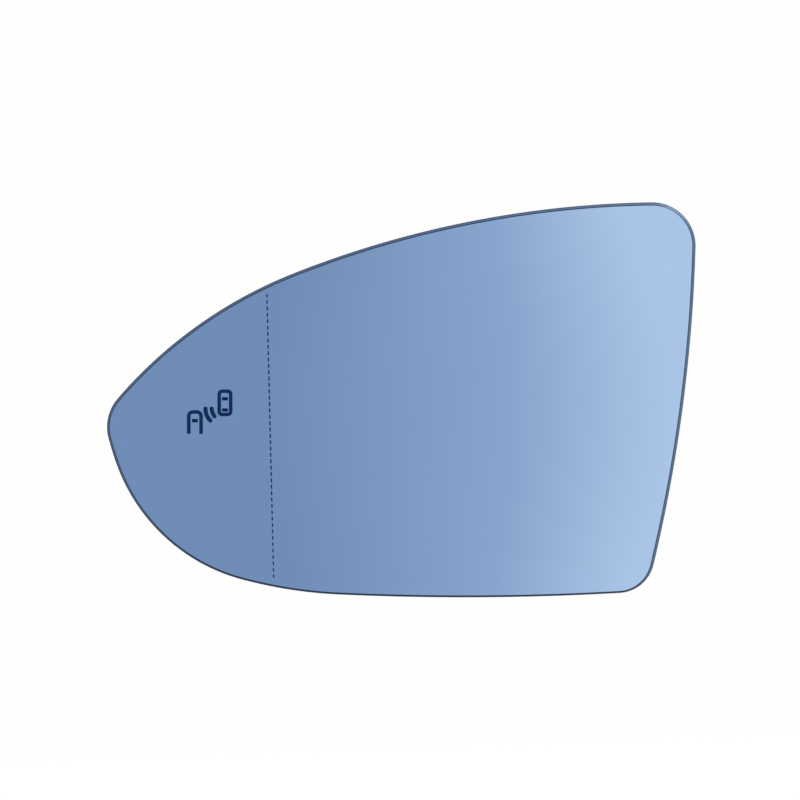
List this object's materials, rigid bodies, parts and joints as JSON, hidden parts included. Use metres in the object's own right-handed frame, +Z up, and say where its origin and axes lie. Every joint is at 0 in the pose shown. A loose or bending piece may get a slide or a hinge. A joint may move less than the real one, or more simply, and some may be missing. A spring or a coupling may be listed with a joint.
{
  "type": "car door mirror glass",
  "caption": "Blue convex door mirror glass with an aspheric outer field, heater foil, blind spot indicator and a ribbed plate that clips to the mirror actuator.",
  "frame": {"origin": "centre of the ring of hook tips that snaps over the actuator flange, midway along their land", "axes": "-Y out of the reflecting face towards the driver, +Y back into the mirror housing, +Z up, +X towards the tall inner end"},
  "size_m": [0.1762, 0.0187, 0.1182],
  "materials": {
    "mirror_glass": "polished, blue tinted",
    "etched_line": "matt, dark blue",
    "etched_symbol": "matt, dark blue",
    "heater_foil": "satin foil",
    "heater_film": "smooth film",
    "terminal": "tinned",
    "adhesive": "foam",
    "plate": "moulded, fine grain",
    "diffuser": "milky",
    "gasket": "closed foam",
    "housing": "moulded",
    "board": "lacquered",
    "led": "moulded",
    "resistor": "ceramic",
    "pin": "plated"
  },
  "bodies": {
    "root": {"mirror_glass": "mirror_glass", "boundary_line": "etched_line", "blind_spot_symbol": "etched_symbol", "heater_track": "heater_foil", "heater_film": "heater_film", "terminal_left": "terminal", "terminal_right": "terminal", "adhesive_sheet": "adhesive", "backing_plate": "plate", "indicator_diffuser": "diffuser", "indicator_gasket": "gasket", "indicator_housing": "housing", "indicator_board": "board", "indicator_leds": "led", "indicator_resistors": "resistor", "indicator_pins": "pin"}
  },
  "joints": []
}
